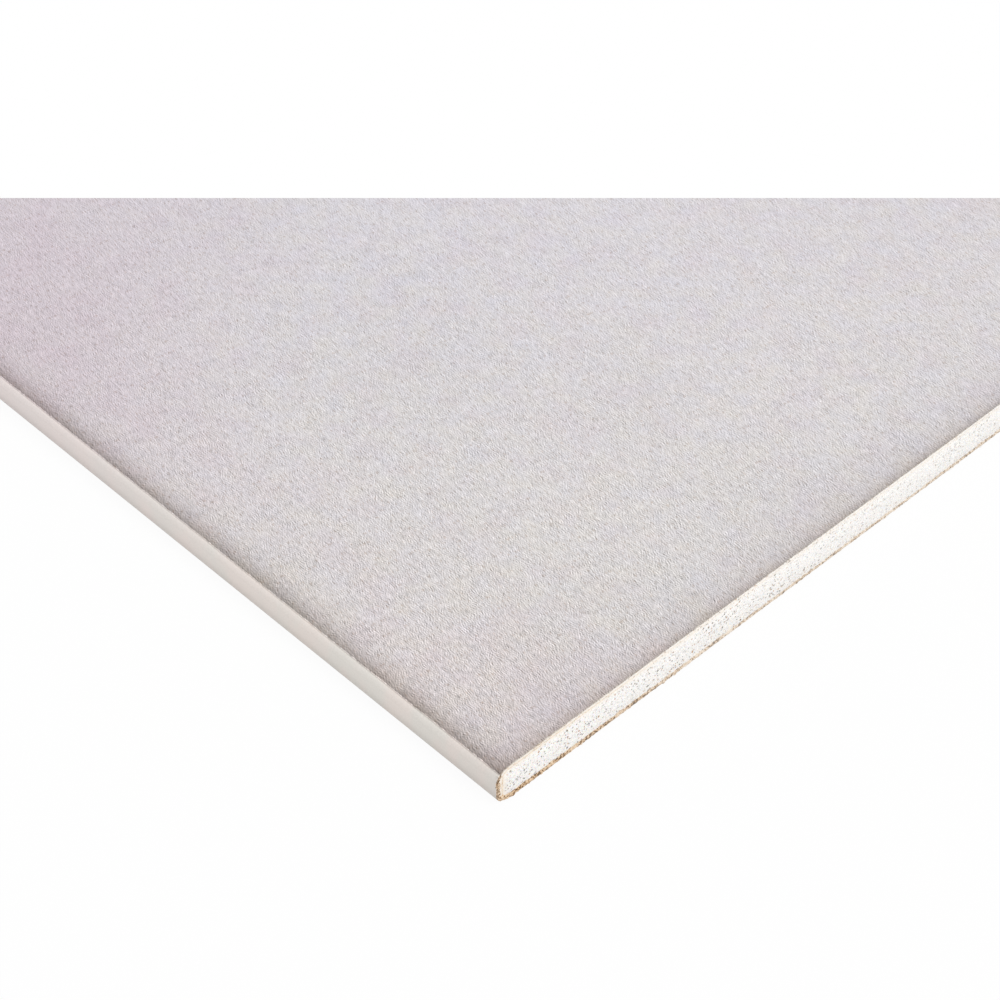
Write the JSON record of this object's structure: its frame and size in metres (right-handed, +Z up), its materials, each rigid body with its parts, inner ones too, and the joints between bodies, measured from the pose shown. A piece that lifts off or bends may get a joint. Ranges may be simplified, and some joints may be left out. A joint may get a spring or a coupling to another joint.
{
  "type": "drywall sheet",
  "caption": "Flat sheet of paper-faced gypsum wallboard with rounded paper-wrapped long edges and square cut ends that show the core.",
  "frame": {"origin": "centre of the sheet's underside, on the floor that it lies on", "axes": "+X along the sheet's length, +Y across its width, +Z up through its thickness to the grey back"},
  "size_m": [2.4, 1.2, 0.0125],
  "materials": {
    "gypsum": "matt off-white gypsum with small pores",
    "face_paper": "smooth matt ivory paper, brown inside where it is cut",
    "back_paper": "rough matt grey recycled paper with visible fibres"
  },
  "bodies": {
    "root": {"gypsum_core": "gypsum", "face_paper": "face_paper", "back_paper": "back_paper"}
  },
  "joints": []
}
